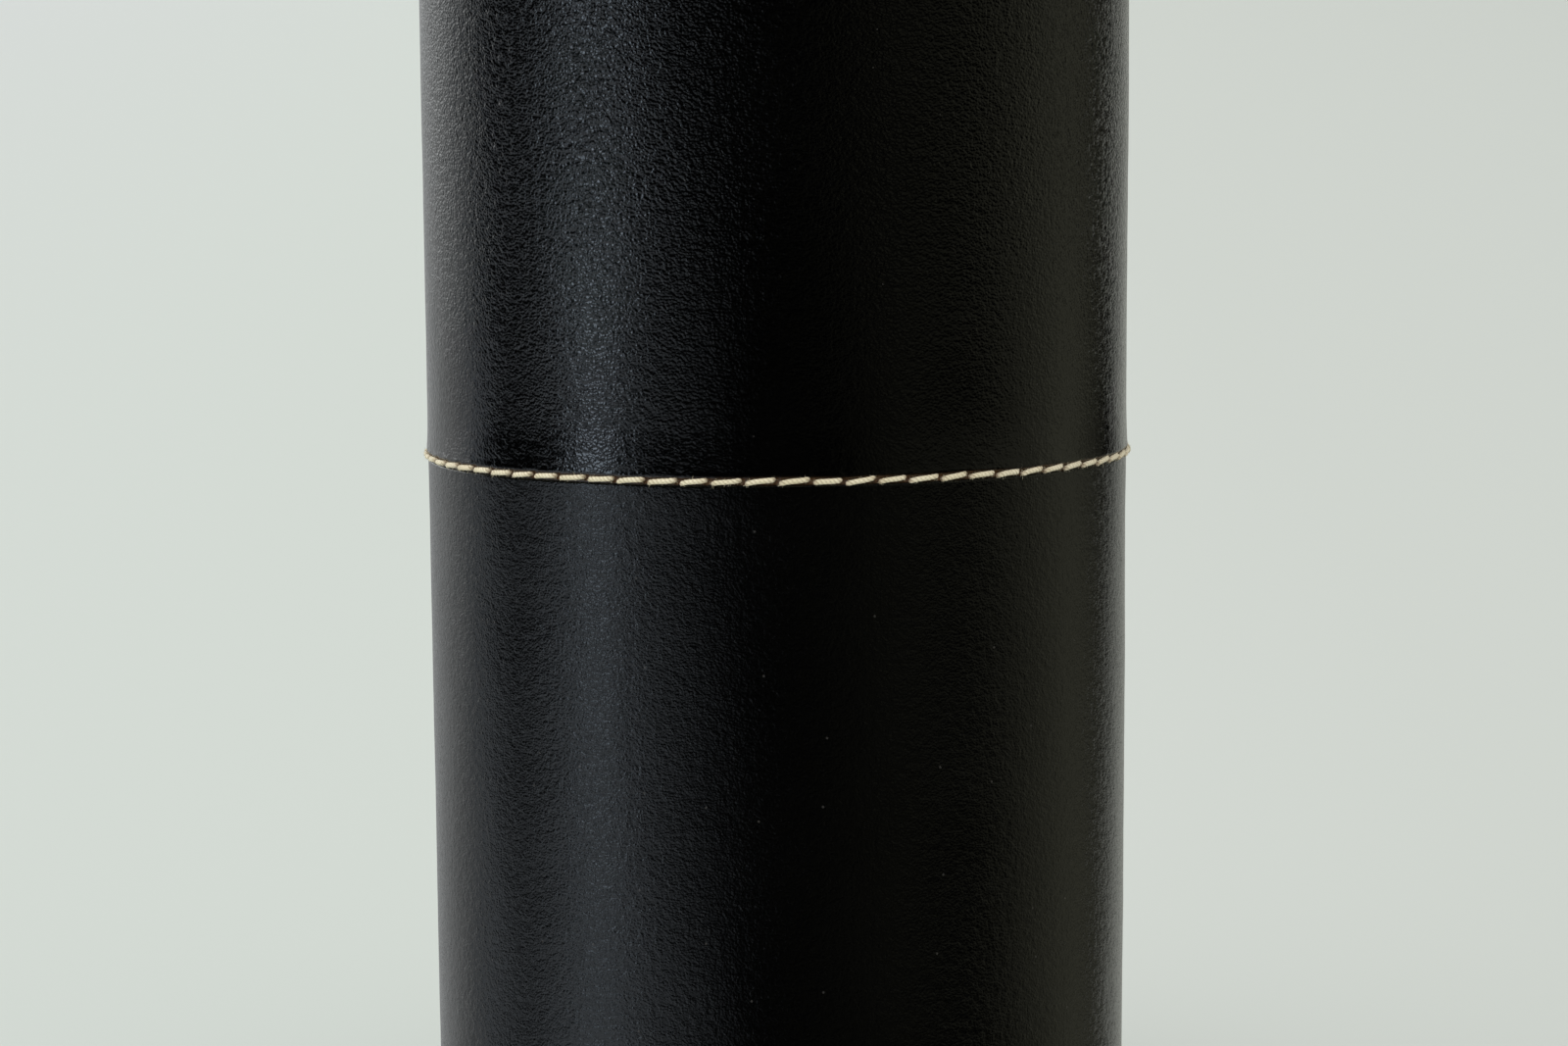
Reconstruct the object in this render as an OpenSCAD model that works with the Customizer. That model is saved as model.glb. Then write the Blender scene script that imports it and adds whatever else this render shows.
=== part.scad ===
// Tall leather dice cup, in millimetres.
// A tapered fibreboard tube is closed by a wooden base board and lined with felt. Two leather covers
// clothe it: the upper one laps over the lower one at the waist, where a row of saddle stitches joins
// them, and it is turned over the rim and down inside the mouth. The lower one is turned under the
// base, which a leather sole closes.
// +Z runs up the cup's axis from the middle of the sole's underside. Each cover closes on itself at the
// back, which is at +Y.

/* [Cup] */
// Overall height
cup_height = 124; // [104:1:150]
// Outer diameter at the mouth
mouth_d = 74.2; // [64:0.2:90]
// Outer diameter at the foot
base_d = 71.8; // [62:0.2:88]
// Height of the waist stitches
waist_z = 69; // [50:1:80]

/* [Wall] */
// Thickness of the leather covers
cover_t = 1.2; // [1:0.1:1.6]
// Thickness of a cover where it is pared to turn over an edge
turn_t = 1; // [0.6:0.1:1.4]
// Thickness of the fibreboard tube
core_t = 2; // [1.6:0.1:3]
// Thickness of the felt on the wall
lining_t = 1; // [0.6:0.1:2]

/* [Waist lap] */
// How far the upper cover reaches over the lower one
lap = 6; // [4:0.5:10]
// Distance from the waist stitches to the upper cover's cut edge
edge_margin = 0.75; // [0.6:0.05:1.5]
// How far that cut edge stands out from the lower cover
lap_step = 0.18; // [0.1:0.02:0.4]
// Thickness of the lower cover's pared tongue under the lap
tongue_t = 0.55; // [0.4:0.05:0.7]

/* [Rim] */
// Depth of the upper cover's turn-in inside the mouth
turn_in = 14; // [10:0.5:25]
// Distance from the rim to its row of stitches
rim_drop = 5; // [4:0.5:8]

/* [Stitching] */
// Length of thread from one hole to the next
stitch_pitch = 3.38; // [2.8:0.02:5]
// Diameter of the waxed linen thread
thread_d = 0.63; // [0.5:0.01:0.9]
// Gap between one stitch and the next
stitch_gap = 0.4; // [0.3:0.05:0.7]
// Rise of one stitch from its start to its end
stitch_rise = 0.3; // [0:0.05:0.5]
// Depth to which the stitches sink into the leather
bed_depth = 0.25; // [0.1:0.05:0.4]

/* [Base] */
// Thickness of the leather sole
sole_t = 1.4; // [1:0.1:3]
// Distance from the foot's outside to the sole's edge
sole_inset = 2.2; // [1.5:0.1:5]
// Width of the lower cover's turn-in under the base
turn_under = 11; // [8:0.5:20]
// Thickness of the wooden base board
board_t = 3; // [2:0.5:6]
// Thickness of the cork cushion under the felt floor
cushion_t = 2; // [1:0.5:4]
// Thickness of the felt floor
floor_t = 1.2; // [0.8:0.1:3]

/* [Hidden] */
$fn = 96;

glue_t = 0.05;              // thickness of every glue line
thread_clear = 0.06;        // room round a thread in its bed and holes
leg_d = 0.5;                // thread where a hole squeezes it
board_round = 0.6;          // rounding of the tube's outer edges
felt_round = 0.4;           // rounding of the felt's top edge
edge_bevel = 0.15;          // bevel of the upper cover's cut edge
skive_end = 0.3;            // thickness left at the end of a pared edge
skive_run = 1;              // length over which such an end is pared
ramp_run = 1.5;             // length over which the upper cover thins above the tongue
back_lap = 8;               // width of each cover's own closing lap at the back
row_clear = 2;              // distance from a back row's end to the rows it runs between
foot_clear = 4;             // distance from the lower back row's end to the foot
sole_bevel = 0.3;           // bevel round the sole
filler_gap = 0.3;           // gap round the filler card
floor_gap = 0.15;           // gap round the cushion and the felt floor
past = 1;                   // how far a cutting shape runs past what it cuts
arc_steps = 6;              // straight steps in each rounded corner

taper = atan2((mouth_d - base_d) / 2, cup_height);
fold_z = sole_t + glue_t;                   // underside of the lower cover's turn-in
foot_z = fold_z + turn_t + glue_t;          // underside of the tube and the base board
board_top = foot_z + board_t;
cushion_z = board_top + glue_t;
felt_z = cushion_z + cushion_t + glue_t;
tube_top = cup_height - turn_t - glue_t;
edge_z = waist_z - edge_margin;             // the upper cover's cut edge
tongue_z = edge_z + lap;                    // top of the lower cover's tongue
turn_z = cup_height - turn_in;              // lower edge of the turn-in inside the mouth
rim_z = cup_height - rim_drop;              // the rim's row of stitches
flange_r = outer_r(0) - turn_under;
bed_w = thread_d + stitch_rise + 4 * thread_clear;
channel_depth = thread_d + 2 * thread_clear;
apart = stitch_gap + thread_d;              // between the two legs that share a hole
lap_half = back_lap / 2;
lap_turn = asin((lap_half - edge_margin) / outer_r(cup_height / 2));

// Radius of each layer at height z, from the outside in
function outer_r(z) = (base_d + (mouth_d - base_d) * z / cup_height) / 2;
function cover_in(z) = outer_r(z) - cover_t;
function tube_out(z) = cover_in(z) - glue_t;
function tube_in(z) = tube_out(z) - core_t;
function felt_out(z) = tube_in(z) - glue_t;
function felt_in(z) = felt_out(z) - lining_t;
function turn_out(z) = felt_in(z) - glue_t;
function turn_inside(z) = turn_out(z) - turn_t;
function tongue_out(z) = cover_in(z) + tongue_t;
// The covers' skin: the lap makes it stand out at the waist
function skin_r(z) = outer_r(z) + (z < edge_z ? 0 : lap_step * max(0, (tongue_z - z) / lap));
// An even number of stitches that comes nearest to the pitch on a ring of radius r
function ring_count(r) = 2 * round(PI * r / stitch_pitch);
function row_count(z0, z1) = round((z1 - z0) / stitch_pitch);
// A corner from angle a0 to a1 about c, with half-axes rx and ry
function corner(c, rx, ry, a0, a1) = [
    for (i = [0 : arc_steps]) let (a = a0 + (a1 - a0) * i / arc_steps) c + [rx * cos(a), ry * sin(a)]
];

foot_corner = [tube_out(foot_z + board_round) - board_round, foot_z + board_round];
rim_corner = [tube_out(tube_top - board_round) - board_round, tube_top - board_round];
felt_corner = [felt_in(tube_top - felt_round) + felt_round, tube_top - felt_round];
upper_row = [waist_z + row_clear, rim_z - row_clear];
lower_row = [fold_z + foot_clear, waist_z - row_clear];
ramp_z = tongue_z + ramp_run;
wall_t = outer_r(rim_z) - turn_inside(rim_z);

// Turns an outline of [radius, height] points into a body of revolution
module turned(points) rotate_extrude() polygon(points);

// A ring of rectangular section between two radii and two heights
module band(r0, r1, z0, z1) turned([[r0, z0], [r1, z0], [r1, z1], [r0, z1]]);

// Puts its children on the wall, `turns` of the way round from the front: X along the ring, Y up, Z out
module on_ring(turns) rotate(360 * turns) rotate([90, 0, 0]) children();

// Puts its children on the back of the wall at height z: X up the wall, Y across, Z out from the skin
module on_back(z) {
    translate([0, outer_r(z), z]) rotate([-90 - taper, 0, 0]) rotate(-90) children();
}

// A straight length of thread from a to b, running `over` past both
module strand(a, b, d, over = 0) {
    v = b - a;
    translate(a) rotate([0, acos(v.z / norm(v)), atan2(v.y, v.x)]) translate([0, 0, -over])
        cylinder(d = d, h = norm(v) + 2 * over, $fn = 24);
}

// One stitch: a run of thread outside, a shorter run inside and the two legs that join them
module stitch(length_out, length_in, z_out, z_in) {
    rise = [0, stitch_rise / 2, 0];
    for (run = [[length_out, z_out], [length_in, z_in]])
        strand([-run[0] / 2, 0, run[1]] - rise, [run[0] / 2, 0, run[1]] + rise, thread_d, thread_d / 2);
    for (side = [-1, 1]) strand([side * length_in / 2, 0, z_in] + side * rise,
        [side * length_out / 2, 0, z_out] + side * rise, leg_d);
}

// The awl's slit that a stitch's last leg and the next one's first leg share
module slit(z0, z1) {
    size = norm([apart, stitch_rise]) + leg_d + 2 * thread_clear;
    rotate([0, 0, -atan2(stitch_rise, apart)]) translate([-size / 2, -leg_d / 2 - thread_clear, z0])
        cube([size, leg_d + 2 * thread_clear, z1 - z0]);
}

// Stitches round the wall at height z, between the bed radii outside and inside
module ring_thread(z, bed_out, bed_in) {
    count = ring_count(bed_out);
    length = 2 * PI * bed_out / count - apart;
    z_out = bed_out + (thread_d + thread_clear) / 2;
    z_in = bed_in - thread_d / 2 - thread_clear;
    for (k = [0 : count - 1]) translate([0, 0, z]) on_ring((k + 0.5) / count)
        stitch(length, length * z_in / z_out, z_out, z_in);
}

// The slits for ring_thread, from radius r0 to r1
module ring_slits(z, bed_out, r0, r1) {
    count = ring_count(bed_out);
    for (k = [0 : count - 1]) translate([0, 0, z]) on_ring(k / count) slit(r0, r1);
}

// A row of stitches up the back between two heights
module back_thread(row) {
    count = row_count(row[0], row[1]);
    pitch = (row[1] - row[0]) / count;
    for (k = [0 : count - 1]) on_back(row[0] + (k + 0.5) * pitch) stitch(pitch - apart, pitch - apart,
        (thread_d + thread_clear) / 2 - bed_depth, -cover_t - thread_d / 2 - thread_clear);
}

// The slits for back_thread
module back_slits(row) {
    count = row_count(row[0], row[1]);
    for (k = [0 : count]) on_back(row[0] + k * (row[1] - row[0]) / count) slit(-cover_t - past, past);
}

// A straight groove along back_thread, between depths z0 and z1
module back_groove(row, z0, z1) {
    on_back(row[0]) translate([-apart, -bed_w / 2, z0]) cube([row[1] - row[0] + 2 * apart, bed_w, z1 - z0]);
}

// Cuts the outline of a closing joint in the back of a cover, from z0 up to z1
module back_cut(z0, z1, outline) {
    rotate(lap_turn) translate([0, outer_r(z0), z0]) rotate([-taper, 0, 0]) linear_extrude(z1 - z0)
        polygon(outline);
}

// A thin gap through a cover from depth d0 to d1, at the lap's outer end or at its inner end
function gap_at(x, d0, d1) = [[x, -d1], [x + 2 * glue_t, -d1], [x + 2 * glue_t, -d0], [x, -d0]];
outer_gap = gap_at(lap_half, -past, cover_t + past);
inner_gap = gap_at(-lap_half - 2 * glue_t, -past, cover_t + past);

// The halved lap with which a cover closes on itself: an outer gap, a flat glue line and an inner gap
halving = -cover_t / 2 - lap_half * lap_half / outer_r(cup_height / 2) / 4;
halved_lap = [
    [lap_half, past], [lap_half, halving + glue_t], [-lap_half - 2 * glue_t, halving + glue_t],
    [-lap_half - 2 * glue_t, -cover_t - past], [-lap_half, -cover_t - past],
    [-lap_half, halving - glue_t], [lap_half + 2 * glue_t, halving - glue_t], [lap_half + 2 * glue_t, past],
];

module core_tube() color("tan") difference() {
    turned(concat(
        corner(foot_corner, board_round, board_round, -90, 0),
        corner(rim_corner, board_round, board_round, 0, 90),
        [[tube_in(tube_top), tube_top], [tube_in(foot_z), foot_z]]));
    // Channels for the inner runs of thread
    band(tube_out(waist_z) - channel_depth, outer_r(waist_z), waist_z - bed_w / 2, waist_z + bed_w / 2);
    for (row = [upper_row, lower_row]) back_groove(row, -cover_t - glue_t - channel_depth, past);
    ring_slits(rim_z, outer_r(rim_z) - bed_depth, tube_in(rim_z) - past, outer_r(rim_z));
}

module base_board() color("burlywood") translate([0, 0, foot_z])
    cylinder(r1 = tube_in(foot_z) - glue_t, r2 = tube_in(board_top) - glue_t, h = board_t);

module base_filler() color("gray") translate([0, 0, fold_z]) cylinder(r = flange_r - filler_gap, h = turn_t);

module sole() color("#1c1b1b") turned([
    [0, 0], [outer_r(0) - sole_inset - sole_bevel, 0], [outer_r(0) - sole_inset, sole_bevel],
    [outer_r(0) - sole_inset, sole_t], [0, sole_t]]);

module lower_cover() color("#161618") difference() {
    turned(concat(
        [[flange_r, fold_z]],
        corner(foot_corner, board_round + glue_t + cover_t, foot_corner[1] - fold_z, -90, 0),
        [[outer_r(edge_z), edge_z], [tongue_out(edge_z), edge_z],
         [tongue_out(tongue_z - skive_run), tongue_z - skive_run],
         [cover_in(tongue_z) + skive_end / 2, tongue_z], [cover_in(tongue_z), tongue_z]],
        corner(foot_corner, board_round + glue_t, board_round + glue_t, 0, -90),
        [[flange_r, foot_z - glue_t]]));
    ring_slits(waist_z, skin_r(waist_z) - bed_depth, tube_out(waist_z) - past, outer_r(waist_z) + past);
    back_slits(lower_row);
    back_slits(upper_row);
    back_groove(lower_row, -bed_depth, past);
    back_cut(fold_z - past, foot_corner[1], gap_at(lap_half, -past, turn_under + past));
    back_cut(foot_corner[1], edge_z - ramp_run, halved_lap);
    back_cut(edge_z - ramp_run, tongue_z + past, inner_gap);
    back_cut(edge_z - ramp_run, edge_z + past, outer_gap);
}

module upper_cover() color("#131316") difference() {
    turned(concat(
        [[tongue_out(edge_z) + glue_t, edge_z + glue_t], [skin_r(edge_z) - edge_bevel, edge_z + glue_t],
         [skin_r(edge_z), edge_z + glue_t + edge_bevel], [outer_r(tongue_z), tongue_z]],
        corner(rim_corner, board_round + glue_t + cover_t, cup_height - rim_corner[1], 0, 90),
        corner(felt_corner, felt_round + glue_t + turn_t, cup_height - felt_corner[1], 90, 180),
        [[turn_inside(turn_z + skive_run), turn_z + skive_run], [turn_out(turn_z) - skive_end, turn_z],
         [turn_out(turn_z), turn_z]],
        corner(felt_corner, felt_round + glue_t, felt_round + glue_t, 180, 90),
        corner(rim_corner, board_round + glue_t, board_round + glue_t, 90, 0),
        [[cover_in(tongue_z + ramp_run), tongue_z + ramp_run],
         [tongue_out(tongue_z - skive_run) + glue_t, tongue_z - skive_run]]));
    ring_slits(waist_z, skin_r(waist_z) - bed_depth, tube_out(waist_z) - past, outer_r(waist_z) + past);
    band(skin_r(waist_z) - bed_depth, outer_r(waist_z) + past, waist_z - bed_w / 2, waist_z + bed_w / 2);
    ring_slits(rim_z, outer_r(rim_z) - bed_depth, turn_inside(rim_z) - past, outer_r(rim_z) + past);
    band(outer_r(rim_z) - bed_depth, outer_r(rim_z) + past, rim_z - bed_w / 2, rim_z + bed_w / 2);
    band(turn_inside(rim_z) - past, turn_inside(rim_z) + bed_depth, rim_z - bed_w / 2, rim_z + bed_w / 2);
    back_slits(upper_row);
    back_groove(upper_row, -bed_depth, past);
    back_cut(edge_z - past, ramp_z, outer_gap);
    back_cut(ramp_z, rim_corner[1], halved_lap);
    back_cut(turn_z - past, rim_corner[1], gap_at(lap_half, cover_t + core_t, wall_t + past));
    back_cut(rim_corner[1], cup_height + past, gap_at(lap_half, -past, wall_t + past));
}

module waist_thread() color("#d8cfb4")
    ring_thread(waist_z, skin_r(waist_z) - bed_depth, cover_in(waist_z));

module rim_thread() color("#d8cfb4")
    ring_thread(rim_z, outer_r(rim_z) - bed_depth, turn_inside(rim_z) + bed_depth);

module upper_back_thread() color("#d8cfb4") back_thread(upper_row);

module lower_back_thread() color("#d8cfb4") back_thread(lower_row);

module lining_wall() color("darkgreen") difference() {
    turned(concat(
        [[felt_in(board_top + glue_t), board_top + glue_t], [felt_out(board_top + glue_t), board_top + glue_t],
         [felt_out(tube_top), tube_top]],
        corner(felt_corner, felt_round, felt_round, 90, 180)));
    back_cut(board_top, tube_top + past, gap_at(lap_half, cover_t + core_t, wall_t));
    ring_slits(rim_z, outer_r(rim_z) - bed_depth, felt_in(rim_z) - past, felt_out(rim_z) + past);
}

module floor_cushion() color("peru") translate([0, 0, cushion_z]) cylinder(
    r1 = felt_in(cushion_z) - floor_gap, r2 = felt_in(cushion_z + cushion_t) - floor_gap, h = cushion_t);

module lining_floor() color("darkgreen") translate([0, 0, felt_z])
    cylinder(r1 = felt_in(felt_z) - floor_gap, r2 = felt_in(felt_z + floor_t) - floor_gap, h = floor_t);

core_tube();
base_board();
base_filler();
sole();
lower_cover();
upper_cover();
waist_thread();
rim_thread();
upper_back_thread();
lower_back_thread();
lining_wall();
floor_cushion();
lining_floor();
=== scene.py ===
"""A tall dice cup in black leather: covers, stitches, felt and sole, on a pale floor under soft light."""

import math

import bpy
import numpy as np
from mathutils import Matrix, Vector


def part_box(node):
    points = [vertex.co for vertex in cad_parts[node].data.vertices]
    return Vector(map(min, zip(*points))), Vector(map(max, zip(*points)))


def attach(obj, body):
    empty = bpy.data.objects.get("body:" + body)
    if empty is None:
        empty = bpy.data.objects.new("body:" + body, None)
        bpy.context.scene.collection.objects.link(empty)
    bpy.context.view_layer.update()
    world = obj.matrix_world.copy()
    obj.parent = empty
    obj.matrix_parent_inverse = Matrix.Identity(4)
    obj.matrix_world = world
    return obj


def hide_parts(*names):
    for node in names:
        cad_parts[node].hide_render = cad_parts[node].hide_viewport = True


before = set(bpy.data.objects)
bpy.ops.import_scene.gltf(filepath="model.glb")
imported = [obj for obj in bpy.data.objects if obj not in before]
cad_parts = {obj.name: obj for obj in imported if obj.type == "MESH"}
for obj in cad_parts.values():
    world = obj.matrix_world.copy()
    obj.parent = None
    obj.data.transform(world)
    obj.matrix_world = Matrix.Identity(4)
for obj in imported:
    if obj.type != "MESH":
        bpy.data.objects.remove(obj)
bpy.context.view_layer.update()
rng = np.random.default_rng(68)

MM = 0.001


def box_mm(node):
    """Lowest and highest corner of a piece of the frame, in millimetres."""
    low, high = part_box(node)
    return np.array(low) / MM, np.array(high) / MM


def half_width(node):
    low, high = box_mm(node)
    return (high[0] - low[0]) / 2


# ---------------------------------------------------------------- sizes, in millimetres

GLUE = 0.05                     # every glue line
COVER_T = 1.2                   # leather of both covers
TURN_T = 1.0                    # leather pared for turning over an edge
TONGUE_T = 0.55                 # pared tongue of the lower cover, under the lap
LAP_STEP = 0.18                 # how far the upper cover's cut edge stands out
THREAD_R = 0.262                # waxed thread, pulled tight
BED_DEPTH = 0.25                # how far the thread sinks in
EDGE_MARGIN = 0.75              # from a row to the cut edge beside it
BACK_LAP_RISE = 0.09            # how far the closing lap stands out at the back
TUBE_T = 2.0                    # fibreboard wall
BOARD_ROUND = 0.6               # rounding of the tube's edges
FELT_T = 1.0
FELT_ROUND = 0.4                # rounding of the felt's upper edge
TURN_IN = 14                    # how far the upper cover reaches down inside the mouth
TURN_UNDER = 11                 # how far the lower cover reaches in under the foot
JOINT_DROP = 0.4                # from the waist row down to the visible joint of the covers
BACK_STITCH = 3.38              # about one stitch of the rows up the back
HOLE_INSET = 0.35               # from the middle of two stitches' shared hole to either thread
THREAD_PROUD = 0.03             # how far the thread's middle lies above its bed, beyond its radius

FOLD_Z = box_mm("lower_cover")[0][2]
TONGUE_Z = box_mm("lower_cover")[1][2]
WAIST_Z = (box_mm("waist_thread")[0][2] + box_mm("waist_thread")[1][2]) / 2
EDGE_Z = box_mm("upper_cover")[0][2]
RIM_Z = (box_mm("rim_thread")[0][2] + box_mm("rim_thread")[1][2]) / 2
TOP_Z = box_mm("upper_cover")[1][2]
TUBE_LOW = box_mm("core_tube")[0][2]
TUBE_TOP = box_mm("core_tube")[1][2]
TURN_Z = TOP_Z - TURN_IN
JOINT_Z = WAIST_Z - JOINT_DROP
SOLE_TOP = box_mm("sole")[1][2]
SOLE_R = half_width("sole")
FELT_LOW, FELT_HIGH = box_mm("lining_wall")[0][2], box_mm("lining_wall")[1][2]
FLOOR_LOW, FLOOR_HIGH = box_mm("lining_floor")[0][2], box_mm("lining_floor")[1][2]
FLOOR_R = half_width("lining_floor")

CORNER_LOW = TUBE_LOW + BOARD_ROUND
CORNER_HIGH = TUBE_TOP - BOARD_ROUND
R_EDGE = half_width("lower_cover")
R_CORNER = half_width("upper_cover")
SLOPE = (R_CORNER - R_EDGE) / (CORNER_HIGH - EDGE_Z + GLUE)
R_WAIST = R_EDGE + SLOPE * (WAIST_Z - EDGE_Z)
RING = 68                       # stitches in a ring
PITCH = 2 * math.pi * R_WAIST / RING
UPPER_ROW = (WAIST_Z + 2, RIM_Z - 2)
LOWER_ROW = (FOLD_Z + 4, WAIST_Z - 2)


def outer_r(z):
    return R_EDGE + SLOPE * (z - EDGE_Z)


def cover_in(z):
    return outer_r(z) - COVER_T


def felt_out(z):
    return cover_in(z) - GLUE - TUBE_T - GLUE


def felt_in(z):
    return felt_out(z) - FELT_T


def turn_out(z):
    return felt_in(z) - GLUE


def turn_inside(z):
    return turn_out(z) - TURN_T


def tongue_out(z):
    return cover_in(z) + TONGUE_T


def lapped_r(z):
    """The upper cover's outside: the lap lifts it, and under the thread it is feathered to its edge."""
    lifted = LAP_STEP * np.clip((TONGUE_Z - z) / (TONGUE_Z - EDGE_Z), 0, 1) ** 1.5
    feathered = np.clip((z - WAIST_Z + 0.35) / 0.6, 0, 1)
    return outer_r(z) + lifted * feathered * feathered * (3 - 2 * feathered) + 0.015


# ---------------------------------------------------------------- mesh helpers

def smooth_noise(shape_u, shape_v, u, v, seed):
    """Smooth random values on a wrapped grid of shape_u by shape_v cells, read at u and v in 0..1."""
    grid = np.random.default_rng(seed).normal(0, 1, (shape_u, shape_v))
    x, y = u % 1 * shape_u, np.clip(v, 0, 1) * (shape_v - 1.001)
    i, j = np.floor(x).astype(int), np.floor(y).astype(int)
    a, b = x - i, y - j
    a, b = a * a * (3 - 2 * a), b * b * (3 - 2 * b)
    i0, i1 = i % shape_u, (i + 1) % shape_u
    j0, j1 = j, np.minimum(j + 1, shape_v - 1)
    return ((grid[i0, j0] * (1 - a) + grid[i1, j0] * a) * (1 - b)
            + (grid[i0, j1] * (1 - a) + grid[i1, j1] * a) * b)


def new_piece(name, points_mm, faces, material, uv=None, marks=None):
    """A mesh piece that rides on the cup's one body, from a list of faces. uv has a value for each corner,
    marks have one for each point."""
    mesh = bpy.data.meshes.new(name)
    mesh.from_pydata((np.asarray(points_mm) * MM).tolist(), [], faces)
    mesh.polygons.foreach_set("use_smooth", np.ones(len(mesh.polygons), bool))
    if uv is not None:
        layer = mesh.uv_layers.new(name="hide")
        layer.data.foreach_set("uv", np.asarray(uv, np.float32).ravel())
    for mark, values in (marks or {}).items():
        layer = mesh.attributes.new(mark, "FLOAT", "POINT")
        layer.data.foreach_set("value", np.asarray(values, np.float32).ravel())
    mesh.materials.append(material)
    mesh.update()
    piece = bpy.data.objects.new(name, mesh)
    bpy.context.scene.collection.objects.link(piece)
    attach(piece, "root")
    return piece


def grid_faces(rows, columns, close_rows, close_columns):
    """Quads of a grid of points, row by row, wrapped round as asked."""
    i = np.arange(rows if close_rows else rows - 1)
    j = np.arange(columns if close_columns else columns - 1)
    i, j = (k.ravel() for k in np.meshgrid(i, j, indexing="ij"))
    i1, j1 = (i + 1) % rows, (j + 1) % columns
    quads = np.stack([i * columns + j, i * columns + j1, i1 * columns + j1, i1 * columns + j], 1)
    return quads, i, j


def path_points(pieces):
    """Joins outline pieces, each (points, spacing, shown), into evenly walked points and their marks."""
    out, shown = [], []
    for points, spacing, seen in pieces:
        points = np.asarray(points, float)
        along = np.concatenate([[0], np.cumsum(np.linalg.norm(np.diff(points, axis=0), axis=1))])
        count = max(1, round(along[-1] / spacing))
        at = np.linspace(0, along[-1], count + 1)
        walked = np.stack([np.interp(at, along, points[:, k]) for k in range(2)], 1)
        if out:
            walked = walked[1:]
        out.extend(walked)
        shown.extend([seen] * len(walked))
    return np.array(out), np.array(shown, float)


def arc(centre, rx, ry, start, end, steps=16):
    angles = np.radians(np.linspace(start, end, steps))
    return [(centre[0] + rx * math.cos(a), centre[1] + ry * math.sin(a)) for a in angles]


def ring_columns(per_stitch):
    """Angles round the cup from the front, starting at the closing lap's visible edge at the back."""
    edge = math.pi - EDGE_MARGIN / R_WAIST
    shares = np.linspace(-0.5, 0.5, per_stitch, endpoint=False) + 0.5 / per_stitch
    shares = np.sign(shares) * np.abs(shares * 2) ** 1.3 / 2
    even = ((np.arange(RING)[:, None] + shares[None]) * 2 * math.pi / RING).ravel()
    even = (even - edge) % (2 * math.pi) + edge - 2 * math.pi
    even = even[(even > edge - 2 * math.pi + 0.2 / R_WAIST) & (even < edge - 0.2 / R_WAIST)]
    near = np.array([0.02, 0.07, 0.14]) / R_WAIST
    return np.sort(np.concatenate([even, edge - 2 * math.pi + near, edge - near]))


def turned_skin(name, outline, shown, angles, lift, material, marks=None):
    """Turns a closed outline round the cup's axis. lift gives how far each point stands out, in mm."""
    rows, columns = len(outline), len(angles)
    ahead, behind = np.roll(outline, -1, 0), np.roll(outline, 1, 0)
    along = ahead - behind
    normal = np.stack([along[:, 1], -along[:, 0]], 1)
    normal /= np.maximum(np.linalg.norm(normal, axis=1, keepdims=True), 1e-9)
    radius = np.repeat(outline[:, :1], columns, 1)
    height = np.repeat(outline[:, 1:], columns, 1)
    turn = np.repeat(angles[None], rows, 0)
    stand = lift(turn, height, radius) * shown[:, None]
    radius = radius + normal[:, :1] * stand
    height = height + normal[:, 1:] * stand
    points = np.stack([radius * np.sin(turn), -radius * np.cos(turn), height], -1).reshape(-1, 3)
    faces, i, j = grid_faces(rows, columns, True, True)
    walk = np.concatenate([[0], np.cumsum(np.linalg.norm(np.diff(outline, axis=0), axis=1))])
    walk = walk + outline[0, 1]
    closing = np.append(walk, walk[-1] + np.linalg.norm(outline[0] - outline[-1]))
    sweep = np.append(angles, angles[0] + 2 * math.pi)
    u = np.stack([sweep[j], sweep[j + 1], sweep[j + 1], sweep[j]], 1) * R_WAIST * MM + 0.12
    v = np.stack([closing[i], closing[i], closing[i + 1], closing[i + 1]], 1) * MM
    given = {key: value(turn, height, radius) for key, value in (marks or {}).items()}
    uv = np.stack([u, v], -1).reshape(-1, 2)
    return new_piece(name, points, faces.tolist(), material, uv, given)


# ---------------------------------------------------------------- rows of stitches

def row_of_holes(count, pitch, start, closed, spread):
    """Places of the awl's holes along a row, and how far each strays across it, as a hand makes them."""
    along = start + np.arange(count + 1) * pitch + rng.normal(0, spread, count + 1)
    across = rng.normal(0, spread * 0.45, count + 1)
    if closed:
        along[-1] = along[0] + count * pitch
        across[-1] = across[0]
    return along, across


waist_holes = row_of_holes(RING, PITCH, -math.pi * R_WAIST, True, 0.07)
rim_holes = row_of_holes(RING, PITCH, -math.pi * R_WAIST, True, 0.05)
upper_count = round((UPPER_ROW[1] - UPPER_ROW[0]) / BACK_STITCH)
lower_count = round((LOWER_ROW[1] - LOWER_ROW[0]) / BACK_STITCH)
upper_pitch = (UPPER_ROW[1] - UPPER_ROW[0]) / upper_count
lower_pitch = (LOWER_ROW[1] - LOWER_ROW[0]) / lower_count
upper_holes = row_of_holes(upper_count, upper_pitch, UPPER_ROW[0], False, 0.05)
lower_holes = row_of_holes(lower_count, lower_pitch, LOWER_ROW[0], False, 0.05)


def row_distance(along, across, holes, closed_length=None):
    """For each point, how far it is along the row to the nearest hole, and across from the row's line."""
    at, off = holes
    shape = along.shape
    x = along.ravel()
    if closed_length:
        x = (x - at[0]) % closed_length + at[0]
    k = np.clip(np.searchsorted(at, x), 1, len(at) - 1)
    left = x - at[k - 1] < at[k] - x
    nearest = np.where(left, k - 1, k)
    gap = x - at[nearest]
    line = np.interp(x, at, off)
    return gap.reshape(shape), across - line.reshape(shape)


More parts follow.
